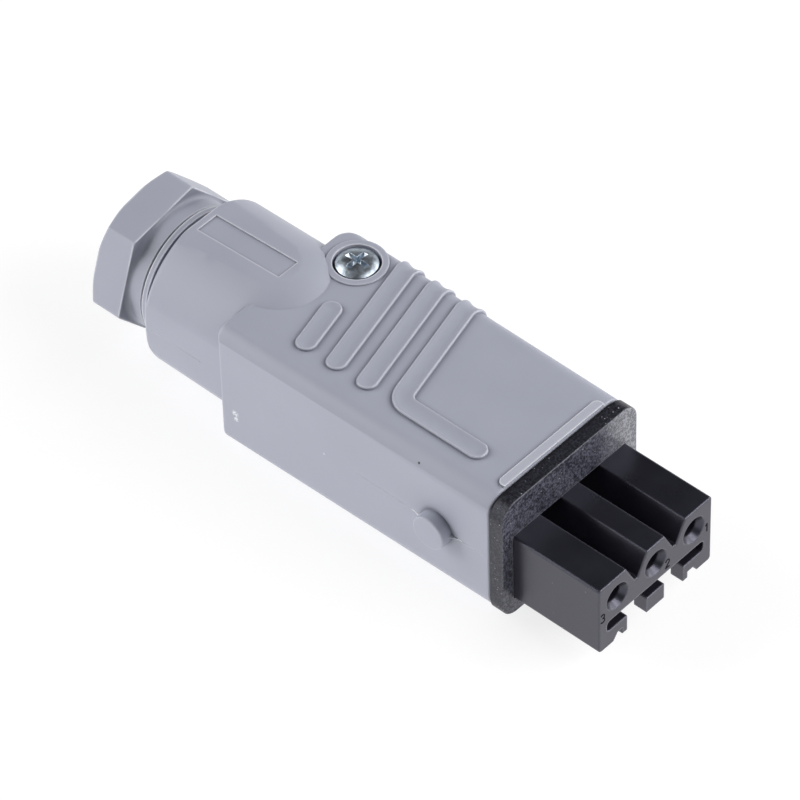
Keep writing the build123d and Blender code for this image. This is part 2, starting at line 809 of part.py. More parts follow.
def screw_seal():
    """Rubber washer under the fixing screw's head."""
    washer = post(counterbore_floor, head_seat, seal_radius, screw_x, screw_y)
    return washer - post(counterbore_floor - 1, head_seat + 1, seal_hole_radius, screw_x, screw_y)


pieces = {
    "housing": housing(),
    "gland_nut": gland_nut(),
    "thrust_washer": ring_about_x(shank_front, bush_rear, washer_hole_radius, stack_radius),
    "cable_seal": cable_seal(),
    "seat_washer": ring_about_x(bush_front, seat_x, washer_hole_radius, stack_radius),
    "front_gasket": front_gasket(),
    "contact_insert": contact_insert(),
    "earth_contact": earth_contact(),
    "earth_screw": clamp_screw(earth_clamp_x, 0, earth_wire_z, earth_block_top),
    "earth_wire_guard": wire_guard(earth_clamp_x, 0, earth_wire_z),
    "fixing_screw": fixing_screw(),
    "fixing_nut": fixing_nut(),
    "screw_seal": screw_seal(),
}
for number, place in enumerate(contact_ys, start=1):
    pieces[f"contact_socket_{number}"] = contact_socket(place)
    pieces[f"socket_spring_{number}"] = socket_spring(place)
    pieces[f"terminal_screw_{number}"] = clamp_screw(clamp_x, place, contact_z, terminal_block_top)
    pieces[f"wire_guard_{number}"] = wire_guard(clamp_x, place, contact_z)

os.makedirs("parts", exist_ok=True)
for name, piece in pieces.items():
    export_step(piece, f"parts/{name}.step")
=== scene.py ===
import json
import math

import bmesh
import bpy
import numpy as np
from mathutils import Matrix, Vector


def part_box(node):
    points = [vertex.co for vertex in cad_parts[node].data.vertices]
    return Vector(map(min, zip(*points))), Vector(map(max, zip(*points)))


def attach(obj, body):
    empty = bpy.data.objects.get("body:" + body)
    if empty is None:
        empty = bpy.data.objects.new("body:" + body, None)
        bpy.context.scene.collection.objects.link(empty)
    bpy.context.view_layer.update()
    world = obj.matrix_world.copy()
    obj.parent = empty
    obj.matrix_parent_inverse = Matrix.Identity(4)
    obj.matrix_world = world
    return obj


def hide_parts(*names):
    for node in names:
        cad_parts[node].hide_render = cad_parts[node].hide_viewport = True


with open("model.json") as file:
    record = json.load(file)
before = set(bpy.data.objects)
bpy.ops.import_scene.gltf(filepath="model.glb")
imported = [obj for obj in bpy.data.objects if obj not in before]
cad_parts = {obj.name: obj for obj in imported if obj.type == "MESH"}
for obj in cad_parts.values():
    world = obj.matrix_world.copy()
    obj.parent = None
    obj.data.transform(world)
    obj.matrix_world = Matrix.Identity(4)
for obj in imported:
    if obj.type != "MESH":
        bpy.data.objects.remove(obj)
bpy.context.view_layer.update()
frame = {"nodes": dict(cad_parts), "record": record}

MM = 0.001

# Viewpoint: a long lens looking down over the front right corner
VIEW_AZIMUTH = 43.438
VIEW_ELEVATION = 45.974
VIEW_ROLL = -1.801
VIEW_DISTANCE = 1007.7 * MM
VIEW_PIXELS_PER_MM = 5.823
IMAGE_SIZE = 800
SENSOR = 36.0
AIM_PIXEL = (555.557, 499.556)
AIM_POINT = np.array((0.0, 0.0, 0.6)) * MM
CLIP_START = 0.05
CLIP_END = 20.0

# Studio: softboxes by azimuth, elevation, distance, size and power, over a bright white floor
PART_MIDDLE = (-0.035, 0.0, 0.0)
SOFTBOXES = {
    "key": (22.0, 35.0, 1.0, 0.7, 9.0),
    "back": (68.0, 20.0, 1.0, 0.7, 4.6),
    "rear": (210.0, 32.0, 1.0, 0.7, 6.1),
    "low_left": (225.0, 12.0, 1.0, 0.7, 3.1),
}
BACKDROP_WHITE = (1.0, 1.0, 1.0)
BACKDROP_TOP = (0.05, 0.4)
CEILING_LIGHT = (0.06, 0.06, 0.065)
FLOOR_WHITE = (0.9, 0.9, 0.9)
FLOOR_HALF = 3.0
FLOOR_GLOW = 1.64
FLOOR_GLOW_SEEN = 1.12
FLOOR_GLOW_SHARE = 0.7

# Lowest point of the part, where the floor lies
FLOOR_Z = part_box("housing")[0].z

# Places on the part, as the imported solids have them
BODY_SIDE = 17.25 * MM
BODY_REAR = -63.3 * MM
NECK_SIDE = 15.4 * MM
NECK_SIDE_RISE = 0.002
NECK_RIM = -83.0 * MM
STUD_X = -11.9 * MM
STUD_RADIUS = 3.45 * MM
INSERT_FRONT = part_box("contact_insert")[1].x
GASKET_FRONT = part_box("front_gasket")[1].x

# Round of the far rear corner beside the screw, and how far its cutter stands outside the body
CORNER_ROUND = 5.6 * MM
CORNER_SWEEP = (91.0, 179.0)
CORNER_POINTS = 25
CORNER_MARGIN = 1.0 * MM
CORNER_HALF_HEIGHT = 16.0 * MM
MERGE_DISTANCE = 0.0005 * MM
SMOOTH_ANGLE = math.radians(30.0)

# Shoulder line where the sides end and the top's rounding starts: its height, rise along X and tilt
SHOULDER_Z = 11.55 * MM
SHOULDER_RISE = 0.011
SHOULDER_SOFTNESS = 0.25 * MM
SHOULDER_SPAN = 2.4 * MM
SHOULDER_REAR = (-63.2 * MM, -62.6 * MM)
SHOULDER_TILT = 0.5

# Mould lines on the housing's flat sides and the thin flash beside the locking studs
MOULD_LINE_Z = -0.3 * MM
MOULD_LINE_HALF_WIDTH = 0.05 * MM
MOULD_LINE_HEIGHT = 0.02 * MM
MOULD_LINE_BODY_START = -31.0 * MM
MOULD_LINE_BODY_END = -1.0 * MM
MOULD_LINE_NECK_START = -81.6 * MM
MOULD_LINE_NECK_END = -69.5 * MM
MOULD_LINE_FAINT = 0.1
MOULD_LINE_POINTS = 24
FLASH_HALF_WIDTH = 0.12 * MM
FLASH_HEIGHT = 0.95 * MM
FLASH_LENGTH = 2.3 * MM
FLASH_SINK = 0.15 * MM
FLASH_POINTS = 20

# Contact numbers on the front face, by number, with the place of their middle
NUMBER_PLACES = {1: (13.5 * MM, -1.4 * MM), 2: (3.1 * MM, -2.0 * MM), 3: (-13.8 * MM, -1.9 * MM)}
NUMBER_HEIGHT = 1.9 * MM
NUMBER_STROKE = 0.15 * MM
NUMBER_RISE = 0.08 * MM

# Small marks on the housing's skin: place and radius in millimetres, and the share that is solid colour
SCUFFS = (((-59.66, -17.25, -5.2), 1.0), ((-59.5, -17.25, -6.6), 0.8), ((-38.26, -17.25, -0.74), 0.3))
SPECK_PLACE = (-16.1, -16.83, 12.03)
SPECK_RADIUS = 0.34
MARK_CORE = 0.3

# Grey plastic: tones, painted shade and painted edge highlight colours, where the front bar and the painted
# shade on the gland's hexagon face set in, and what they cover
GREY_TONES = ((0.345, 0.358, 0.425), (0.385, 0.398, 0.468))
GREY_BAR = (0.5, 0.51, 0.57)
GREY_SHADOW = (0.13, 0.135, 0.17)
GREY_EDGE_HIGHLIGHT = (0.74, 0.75, 0.8)
PALE_MARK = (0.8, 0.81, 0.84)
DARK_MARK = (0.02, 0.02, 0.03)
BAR_REAR = (-2.1 * MM, -1.95 * MM)
BAR_TOP = (14.05 * MM, 14.15 * MM)
BAR_SHARE = 0.5
HEX_FACE = (-90.1 * MM, -90.0 * MM)
HEX_ROOT = (-89.1 * MM, -89.9 * MM)
HEX_SHADE_SHARE = 0.6
GREY_HIGHLIGHT_SHARE = 0.9

# Black plastic of the insert and its painted edge highlight, black of its numbers and pale flash
BLACK_TONES = ((0.008, 0.008, 0.012), (0.015, 0.015, 0.021))
BLACK_EDGE_HIGHLIGHT = (0.15, 0.15, 0.185)
BLACK_HIGHLIGHT_SHARE = 0.8
BLACK_DUST = (0.2, 0.2, 0.2)
BLACK_GLOSS_TINT = (0.82, 0.81, 1.0, 1.0)
NUMBER_TONES = ((0.004, 0.004, 0.005), (0.009, 0.009, 0.011))
FLASH_TONES = ((0.62, 0.63, 0.67), PALE_MARK)

# Rubber: tones of the sides and of the front face's two ends, the far end's paler for a painted sheen, the
# painted edge highlight and painted root shadow, and where front, painted root shadow and painted far-end
# sheen set in
RUBBER_SIDE_TONES = ((0.005, 0.005, 0.007), (0.03, 0.031, 0.042))
RUBBER_NEAR_TONES = ((0.008, 0.008, 0.012), (0.095, 0.098, 0.128))
RUBBER_SHEEN_TONES = ((0.13, 0.132, 0.15), (0.36, 0.365, 0.39))
RUBBER_EDGE_HIGHLIGHT = (0.2, 0.203, 0.225)
RUBBER_SHADOW = (0.002, 0.002, 0.003)
RUBBER_DUST = (0.34, 0.34, 0.36)
RUBBER_GLOSS_TINT = (0.88, 0.88, 1.0, 1.0)
RUBBER_FRONT = (GASKET_FRONT - 0.12 * MM, GASKET_FRONT - 0.02 * MM)
RUBBER_ROOT_SHADOW = (1.1 * MM, 0.5 * MM)
RUBBER_SHEEN_SPAN = (6.0 * MM, 16.0 * MM)
RUBBER_SHEEN_SHARE = 0.7
RUBBER_HIGHLIGHT_SHARE = 0.7

# Rays that each edge mask and each rounded edge takes
EDGE_RAYS = 6


def new_material(name):
    """Empty node material with its output and shader in place."""
    material = bpy.data.materials.new(name)
    material.use_nodes = True
    nodes = material.node_tree.nodes
    nodes.clear()
    output = nodes.new("ShaderNodeOutputMaterial")
    shader = nodes.new("ShaderNodeBsdfPrincipled")
    material.node_tree.links.new(shader.outputs["BSDF"], output.inputs["Surface"])
    return material, shader


def new_group(name, inputs, outputs):
    """Shader node group with named float or vector sockets and its two end nodes."""
    group = bpy.data.node_groups.new(name, "ShaderNodeTree")
    for socket, kind, default in inputs:
        item = group.interface.new_socket(socket, in_out="INPUT", socket_type=kind)
        if default is not None:
            item.default_value = default
    for socket, kind in outputs:
        group.interface.new_socket(socket, in_out="OUTPUT", socket_type=kind)
    start = group.nodes.new("NodeGroupInput")
    end = group.nodes.new("NodeGroupOutput")
    return group, start, end


def math_node(tree, operation, first, second=None):
    """Math node fed by sockets or plain numbers; returns its output."""
    node = tree.nodes.new("ShaderNodeMath")
    node.operation = operation
    for place, value in enumerate((first, second)):
        if value is None:
            continue
        if isinstance(value, (int, float)):
            node.inputs[place].default_value = value
        else:
            tree.links.new(value, node.inputs[place])
    return node.outputs[0]


def product(tree, first, *others):
    """Sockets and plain numbers multiplied one after another."""
    for other in others:
        first = math_node(tree, "MULTIPLY", first, other)
    return first


def ramp(tree, value, low, high):
    """Smooth step of a value from 0 at low to 1 at high."""
    node = tree.nodes.new("ShaderNodeMapRange")
    node.interpolation_type = "SMOOTHSTEP"
    node.inputs["From Min"].default_value = low
    node.inputs["From Max"].default_value = high
    tree.links.new(value, node.inputs["Value"])
    return node.outputs["Result"]


def noise(tree, vector, scale, detail):
    """Value noise on a vector socket, its scale a socket or a plain number."""
    node = tree.nodes.new("ShaderNodeTexNoise")
    node.inputs["Detail"].default_value = detail
    if isinstance(scale, (int, float)):
        node.inputs["Scale"].default_value = scale
    else:
        tree.links.new(scale, node.inputs["Scale"])
    tree.links.new(vector, node.inputs["Vector"])
    return node.outputs["Fac"]


def make_grain_group():
    """Moulded skin: fine grain and broad mottle, both as values from 0 to 1."""
    group, start, end = new_group(
        "moulded_skin",
        (
            ("Vector", "NodeSocketVector", None),
            ("Grain Scale", "NodeSocketFloat", 5000.0),
            ("Mottle Scale", "NodeSocketFloat", 120.0),
        ),
        (("Grain", "NodeSocketFloat"), ("Mottle", "NodeSocketFloat")),
    )
    for name, detail in (("Grain", 2.0), ("Mottle", 3.0)):
        value = noise(group, start.outputs["Vector"], start.outputs[f"{name} Scale"], detail)
        group.links.new(value, end.inputs[name])
    return group


def make_dust_group():
    """Sparse pale specks: cells of a Voronoi pattern kept at random, each shrunk to a small dot."""
    group, start, end = new_group(
        "dust_specks",
        (
            ("Vector", "NodeSocketVector", None),
            ("Scale", "NodeSocketFloat", 700.0),
            ("Share", "NodeSocketFloat", 0.2),
            ("Size", "NodeSocketFloat", 0.12),
        ),
        (("Specks", "NodeSocketFloat"),),
    )
    cells = group.nodes.new("ShaderNodeTexVoronoi")
    group.links.new(start.outputs["Vector"], cells.inputs["Vector"])
    group.links.new(start.outputs["Scale"], cells.inputs["Scale"])
    split = group.nodes.new("ShaderNodeSeparateColor")
    group.links.new(cells.outputs["Color"], split.inputs["Color"])
    kept = math_node(group, "LESS_THAN", split.outputs["Red"], start.outputs["Share"])
    radius = product(group, split.outputs["Green"], start.outputs["Size"])
    near = math_node(group, "LESS_THAN", cells.outputs["Distance"], radius)
    group.links.new(product(group, kept, near), end.inputs["Specks"])
    return group


def make_edge_group():
    """Edge masks from short rays, used for painted shade and painted highlights: Crease is 1 deep in inner
    corners, Edge is 1 along outer corners.
    """
    group, start, end = new_group(
        "edge_masks",
        (
            ("Crease Reach", "NodeSocketFloat", 0.001),
            ("Edge Reach", "NodeSocketFloat", 0.00025),
        ),
        (("Crease", "NodeSocketFloat"), ("Edge", "NodeSocketFloat")),
    )
    for name, inside, low, high in (("Crease", False, 0.45, 0.97), ("Edge", True, 0.5, 0.95)):
        rays = group.nodes.new("ShaderNodeAmbientOcclusion")
        rays.samples = EDGE_RAYS
        rays.inside = inside
        rays.only_local = True
        group.links.new(start.outputs[f"{name} Reach"], rays.inputs["Distance"])
        open_share = ramp(group, rays.outputs["AO"], low, high)
        group.links.new(math_node(group, "SUBTRACT", 1.0, open_share), end.inputs[name])
    return group


GRAIN = make_grain_group()
DUST = make_dust_group()
EDGES = make_edge_group()


def place_group(tree, group, vector=None, **values):
    """Outputs of a group node with its Vector linked and its other inputs set."""
    node = tree.nodes.new("ShaderNodeGroup")
    node.node_tree = group
    if vector is not None:
        tree.links.new(vector, node.inputs["Vector"])
    for name, value in values.items():
        node.inputs[name.replace("_", " ")].default_value = value
    return node.outputs


def new_skin(name, grain_scale, mottle_scale):
    """New material with its shader, tree, object coordinates and the grain and mottle of its skin."""
    material, shader = new_material(name)
    tree = material.node_tree
    coordinates = tree.nodes.new("ShaderNodeTexCoord").outputs["Object"]
    skin = place_group(tree, GRAIN, coordinates, Grain_Scale=grain_scale, Mottle_Scale=mottle_scale)
    return material, shader, tree, coordinates, skin


def mix_colour(tree, factor, first, second):
    """Colour mix of sockets or plain colours by a factor socket."""
    node = tree.nodes.new("ShaderNodeMix")
    node.data_type = "RGBA"
    tree.links.new(factor, node.inputs["Factor"])
    for name, value in (("A", first), ("B", second)):
        socket = [s for s in node.inputs if s.name == name and s.type == "RGBA"][0]
        if isinstance(value, tuple):
            socket.default_value = (*value, 1.0)
        else:
            tree.links.new(value, socket)
    return [s for s in node.outputs if s.type == "RGBA"][0]


def uneven_gloss(tree, shader, mottle, spread, least):
    """Roughness that starts at least and is spread upwards by the mottle."""
    roughness = math_node(tree, "ADD", product(tree, mottle, spread), least)
    tree.links.new(roughness, shader.inputs["Roughness"])


def split_xyz(tree, vector):
    """The three parts of a vector socket, by axis."""
    node = tree.nodes.new("ShaderNodeSeparateXYZ")
    tree.links.new(vector, node.inputs[0])
    return node.outputs


def tilted_up(tree, normal, tilt):
    """Normal of a side face leaned upwards: tilt times its sideways part is added along Z."""
    sideways = math_node(tree, "ABSOLUTE", split_xyz(tree, normal)["Y"])
    lean = tree.nodes.new("ShaderNodeCombineXYZ")
    tree.links.new(product(tree, sideways, tilt), lean.inputs["Z"])
    total = tree.nodes.new("ShaderNodeVectorMath")
    total.operation = "ADD"
    tree.links.new(normal, total.inputs[0])
    tree.links.new(lean.outputs[0], total.inputs[1])
    unit = tree.nodes.new("ShaderNodeVectorMath")
    unit.operation = "NORMALIZE"
    tree.links.new(total.outputs[0], unit.inputs[0])
    return unit.outputs[0]


def soft_bump(tree, shader, height, distance, edge_radius, tilt=None):
    """Bump on top of edges rounded by the given radius, with an optional upward tilt of the faces."""
    edge = tree.nodes.new("ShaderNodeBevel")
    edge.samples = EDGE_RAYS
    edge.inputs["Radius"].default_value = edge_radius
    bump = tree.nodes.new("ShaderNodeBump")
    bump.inputs["Distance"].default_value = distance
    normal = edge.outputs["Normal"]
    if tilt is not None:
        normal = tilted_up(tree, normal, tilt)
    tree.links.new(normal, bump.inputs["Normal"])
    tree.links.new(height, bump.inputs["Height"])
    tree.links.new(bump.outputs["Normal"], shader.inputs["Normal"])


def shoulder_tilt(tree, place):
    """Tilt of the body's long top edges: sets in at the shoulder line and dies out towards the top."""
    rise = product(tree, place["X"], SHOULDER_RISE)
    level = math_node(tree, "SUBTRACT", place["Z"], rise)
    start = ramp(tree, level, SHOULDER_Z - SHOULDER_SOFTNESS, SHOULDER_Z + SHOULDER_SOFTNESS)
    rest = ramp(tree, level, SHOULDER_Z + SHOULDER_SPAN, SHOULDER_Z)
    body = ramp(tree, place["X"], *SHOULDER_REAR)
    return product(tree, start, rest, body, SHOULDER_TILT)


def near_point(tree, coordinates, place, radius):
    """1 close to a point, falling to 0 at the radius, with both given in millimetres."""
    gap = tree.nodes.new("ShaderNodeVectorMath")
    gap.operation = "DISTANCE"
    tree.links.new(coordinates, gap.inputs[0])
    gap.inputs[1].default_value = tuple(c * MM for c in place)
    return ramp(tree, gap.outputs["Value"], radius * MM, MARK_CORE * radius * MM)


def grey_plastic(name, crease_reach, crease_shade_share, edge_reach, shoulder=False):
    """Pale blue-grey moulded polyamide: satin skin, a paler front bar, painted shade on the front face of the
    gland's hexagon, painted shade in inner corners, painted highlights along outer edges and a few marks."""
    material, shader, tree, coordinates, skin = new_skin(name, grain_scale=5200.0, mottle_scale=90.0)
    place = split_xyz(tree, coordinates)
    edges = place_group(tree, EDGES, Crease_Reach=crease_reach, Edge_Reach=edge_reach)
    tone = mix_colour(tree, skin["Mottle"], *GREY_TONES)
    bar = product(tree, ramp(tree, place["X"], *BAR_REAR), ramp(tree, place["Z"], *BAR_TOP), BAR_SHARE)
    tone = mix_colour(tree, bar, tone, GREY_BAR)
    # Painted shade on the front face of the gland's hexagon
    hex_shade = product(tree, ramp(tree, place["X"], *HEX_FACE), ramp(tree, place["X"], *HEX_ROOT), HEX_SHADE_SHARE)
    tone = mix_colour(tree, hex_shade, tone, GREY_SHADOW)
    # Painted shade in inner corners
    tone = mix_colour(tree, product(tree, edges["Crease"], crease_shade_share), tone, GREY_SHADOW)
    # Painted highlight along outer edges
    tone = mix_colour(tree, product(tree, edges["Edge"], GREY_HIGHLIGHT_SHARE), tone, GREY_EDGE_HIGHLIGHT)
    fleck = ramp(tree, noise(tree, coordinates, scale=2600.0, detail=2.0), low=0.42, high=0.6)
    for spot, radius in SCUFFS:
        mark = product(tree, near_point(tree, coordinates, spot, radius), fleck)
        tone = mix_colour(tree, mark, tone, PALE_MARK)
    speck = near_point(tree, coordinates, SPECK_PLACE, SPECK_RADIUS)
    tone = mix_colour(tree, speck, tone, DARK_MARK)
    tree.links.new(tone, shader.inputs["Base Color"])
    uneven_gloss(tree, shader, skin["Mottle"], spread=0.16, least=0.36)
    shader.inputs["Specular IOR Level"].default_value = 0.4
    tilt = shoulder_tilt(tree, place) if shoulder else None
    soft_bump(tree, shader, skin["Grain"], distance=0.006 * MM, edge_radius=0.14 * MM, tilt=tilt)
    return material


def black_plastic():
    """Near-black moulded plastic of the contact carrier: cool satin gloss, painted highlights along its edges
    and some dust.
    """
    material, shader, tree, coordinates, skin = new_skin(
        "black_plastic", grain_scale=4200.0, mottle_scale=160.0
    )
    edges = place_group(tree, EDGES, Crease_Reach=0.8 * MM, Edge_Reach=0.36 * MM)
    tone = mix_colour(tree, skin["Mottle"], *BLACK_TONES)
    # Painted highlight along outer edges
    tone = mix_colour(tree, product(tree, edges["Edge"], BLACK_HIGHLIGHT_SHARE), tone, BLACK_EDGE_HIGHLIGHT)
    dust = place_group(tree, DUST, coordinates, Scale=420.0, Share=0.2, Size=0.05)
    tone = mix_colour(tree, dust["Specks"], tone, BLACK_DUST)
    tree.links.new(tone, shader.inputs["Base Color"])
    uneven_gloss(tree, shader, skin["Mottle"], spread=0.2, least=0.2)
    shader.inputs["Specular IOR Level"].default_value = 0.85
    shader.inputs["Specular Tint"].default_value = BLACK_GLOSS_TINT
    soft_bump(tree, shader, skin["Grain"], distance=0.008 * MM, edge_radius=0.42 * MM)
    return material


def seal_rubber():
    """Dark rubber: black sides with pale specks, a painted shadow at the root by the housing, painted
    highlights along its edges, and a paler grainy front face with a painted sheen that makes it paler still
    towards its far end."""
    material, shader, tree, coordinates, skin = new_skin(
        "seal_rubber", grain_scale=2600.0, mottle_scale=260.0
    )
    edges = place_group(tree, EDGES, Crease_Reach=0.8 * MM, Edge_Reach=0.32 * MM)
    place = split_xyz(tree, coordinates)
    front = ramp(tree, place["X"], *RUBBER_FRONT)
    root = ramp(tree, place["X"], *RUBBER_ROOT_SHADOW)
    # Painted sheen: the front face turns paler towards its far end
    far_sheen = product(tree, ramp(tree, place["Y"], *RUBBER_SHEEN_SPAN), RUBBER_SHEEN_SHARE)
    grain = ramp(tree, skin["Grain"], low=0.38, high=0.66)
    side_tone = mix_colour(tree, grain, *RUBBER_SIDE_TONES)
    near_tone = mix_colour(tree, grain, *RUBBER_NEAR_TONES)
    sheen_tone = mix_colour(tree, grain, *RUBBER_SHEEN_TONES)
    front_tone = mix_colour(tree, far_sheen, near_tone, sheen_tone)
    tone = mix_colour(tree, front, side_tone, front_tone)
    # Painted highlight along outer edges
    tone = mix_colour(tree, product(tree, edges["Edge"], RUBBER_HIGHLIGHT_SHARE), tone, RUBBER_EDGE_HIGHLIGHT)
    # Painted shadow at the root, next to the housing
    tone = mix_colour(tree, root, tone, RUBBER_SHADOW)
    dust = place_group(tree, DUST, coordinates, Scale=1500.0, Share=0.5, Size=0.2)
    tone = mix_colour(tree, dust["Specks"], tone, RUBBER_DUST)
    tree.links.new(tone, shader.inputs["Base Color"])
    uneven_gloss(tree, shader, skin["Mottle"], spread=0.16, least=0.3)
    shader.inputs["Specular IOR Level"].default_value = 0.5
    shader.inputs["Specular Tint"].default_value = RUBBER_GLOSS_TINT
    soft_bump(tree, shader, skin["Grain"], distance=0.02 * MM, edge_radius=0.1 * MM)
    return material


def mottled_skin(name, mottle_scale, tones, spread, least, specular):
    """Flat mottled colour of a small raised piece."""
    material, shader, tree, _, skin = new_skin(name, grain_scale=5200.0, mottle_scale=mottle_scale)
    tree.links.new(mix_colour(tree, skin["Mottle"], *tones), shader.inputs["Base Color"])
    uneven_gloss(tree, shader, skin["Mottle"], spread, least)
    shader.inputs["Specular IOR Level"].default_value = specular
    return material


def bright_metal(name, colour, roughness, streak):
    """Plated or turned metal with fine uneven gloss; streak is how far it darkens between bright patches."""
    material, shader, tree, _, skin = new_skin(name, grain_scale=1800.0, mottle_scale=700.0)
    darker = tuple((1.0 - streak) * c for c in colour)
    patches = ramp(tree, skin["Mottle"], low=0.38, high=0.62)
    tree.links.new(mix_colour(tree, patches, darker, colour), shader.inputs["Base Color"])
    uneven_gloss(tree, shader, skin["Mottle"], spread=0.2, least=roughness)
    shader.inputs["Metallic"].default_value = 1.0
    soft_bump(tree, shader, skin["Grain"], distance=0.1 * streak * MM, edge_radius=0.12 * MM)
    return material


def dress_nodes():
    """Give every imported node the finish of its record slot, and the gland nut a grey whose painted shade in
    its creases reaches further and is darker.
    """
    finishes = {
        "housing_grey": grey_plastic(
            "grey_plastic", crease_reach=1.1 * MM, crease_shade_share=0.75, edge_reach=0.36 * MM, shoulder=True
        ),
        "insert_black": black_plastic(),
        "seal_rubber": seal_rubber(),
        "contact_brass": bright_metal("contact_brass", (0.72, 0.6, 0.36), roughness=0.2, streak=0.2),
        "screw_zinc": bright_metal("screw_zinc", (0.64, 0.72, 0.8), roughness=0.26, streak=0.4),
        "spring_steel": bright_metal("spring_steel", (0.5, 0.51, 0.53), roughness=0.25, streak=0.2),
        "slip_ring": grey_plastic(
            "slip_ring_plastic", crease_reach=1.1 * MM, crease_shade_share=0.5, edge_reach=0.3 * MM
        ),
    }
    slots = {part["node"]: part["material_slot"] for part in frame["record"]["subparts"]}
    for name, node in frame["nodes"].items():
        node.data.materials.clear()
        node.data.materials.append(finishes[slots[name]])
    gland = frame["nodes"]["gland_nut"]
    gland.data.materials[0] = grey_plastic(
        "gland_plastic", crease_reach=5.0 * MM, crease_shade_share=0.8, edge_reach=0.42 * MM
    )
    return finishes


def link_to_scene(item):
    """Put an object into the scene's own collection."""
    bpy.context.scene.collection.objects.link(item)


def add_piece(name, points, faces, material):
    """Mesh object at the origin from whole arrays of points and faces, riding on the shell."""
    mesh = bpy.data.meshes.new(name)
    mesh.from_pydata(points.tolist(), [], [tuple(f) for f in faces])
    mesh.update()
    mesh.shade_smooth()
    mesh.materials.append(material)
    piece = bpy.data.objects.new(name, mesh)
    link_to_scene(piece)
    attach(piece, "shell")


def straight(begin, finish, count):
    """Evenly spaced points on a straight line."""
    share = np.linspace(0.0, 1.0, count)[:, None]
    return (1.0 - share) * np.array(begin) + share * np.array(finish)


def arc(centre, radius, begin, finish, count):
    """Points of a circular arc from one angle to another, in degrees."""
    angle = np.radians(np.linspace(begin, finish, count))
    return np.stack((centre[0] + radius * np.cos(angle), centre[1] + radius * np.sin(angle)), axis=-1)


def bead(path, across, out, half_width, height, turns=10):
    """Closed bead along a path: an ellipse of half_width along across and height along out is carried from
    point to point, and each end closes on the path's own end point."""
    angle = np.linspace(0.0, 2.0 * np.pi, turns, endpoint=False)
    wide = np.broadcast_to(half_width, len(path))[:, None, None] * across[:, None, :]
    high = np.broadcast_to(height, len(path))[:, None, None] * out[:, None, :]
    rings = path[:, None, :] + np.cos(angle)[None, :, None] * wide + np.sin(angle)[None, :, None] * high
    count = len(path) * turns
    points = np.vstack((rings.reshape(-1, 3), path[:1], path[-1:]))
    ring = np.arange(len(path) - 1)[:, None] * turns
    here = np.arange(turns)[None, :]
    after = (here + 1) % turns
    corners = (ring + here, ring + after, ring + turns + after, ring + turns + here)
    sides = np.stack(corners, axis=-1).reshape(-1, 4)
    start = np.stack((np.full(turns, count), after[0], here[0]), axis=-1)
    last = (len(path) - 1) * turns
    end = np.stack((np.full(turns, count + 1), last + here[0], last + after[0]), axis=-1)
    return points, sides.tolist() + start.tolist() + end.tolist()


def corner_cutter():
    """Upright prism outside a quarter round: the arc and the square corner beyond it as one outline in X and
    Y, carried from below the body to above it."""
    centre = (BODY_REAR + CORNER_ROUND, BODY_SIDE - CORNER_ROUND)
    bend = arc(centre, CORNER_ROUND, *CORNER_SWEEP, CORNER_POINTS)
    outer_x = BODY_REAR - CORNER_MARGIN
    outer_y = BODY_SIDE + CORNER_MARGIN
    square = np.array(((outer_x, bend[-1][1]), (outer_x, outer_y), (bend[0][0], outer_y)))
    outline = np.vstack((bend, square))[::-1]
    count = len(outline)
    low = np.column_stack((outline, np.full(count, -CORNER_HALF_HEIGHT)))
    high = np.column_stack((outline, np.full(count, CORNER_HALF_HEIGHT)))
    here = np.arange(count)
    after = (here + 1) % count
    walls = np.column_stack((here, after, after + count, here + count)).tolist()
    faces = walls + [here[::-1].tolist(), (here + count).tolist()]
    mesh = bpy.data.meshes.new("corner_cutter")
    mesh.from_pydata(np.vstack((low, high)).tolist(), [], faces)
    return bpy.data.objects.new("corner_cutter", mesh)


def add_housing_shell(material):
    """Housing with its far rear corner rounded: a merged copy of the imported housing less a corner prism."""
    mesh = frame["nodes"]["housing"].data.copy()
    solid = bmesh.new()
    solid.from_mesh(mesh)
    bmesh.ops.remove_doubles(solid, verts=solid.verts, dist=MERGE_DISTANCE)
    solid.to_mesh(mesh)
    solid.free()
    if "custom_normal" in mesh.attributes:
        mesh.attributes.remove(mesh.attributes["custom_normal"])
    shell = bpy.data.objects.new("housing_shell", mesh)
    cutter = corner_cutter()
    link_to_scene(shell)
    link_to_scene(cutter)
    cut = shell.modifiers.new("corner", "BOOLEAN")
    cut.operation = "DIFFERENCE"
    cut.solver = "EXACT"
    cut.object = cutter
    view = bpy.context.evaluated_depsgraph_get()
    rounded = bpy.data.meshes.new_from_object(shell.evaluated_get(view))
    shell.modifiers.clear()
    shell.data = rounded
    bpy.data.objects.remove(cutter)
    rounded.shade_smooth()
    rounded.set_sharp_from_angle(angle=SMOOTH_ANGLE)
    rounded.materials.clear()
    rounded.materials.append(material)
    even = shell.modifiers.new("even_normals", "WEIGHTED_NORMAL")
    even.keep_sharp = True
    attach(shell, "shell")
    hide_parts("housing")


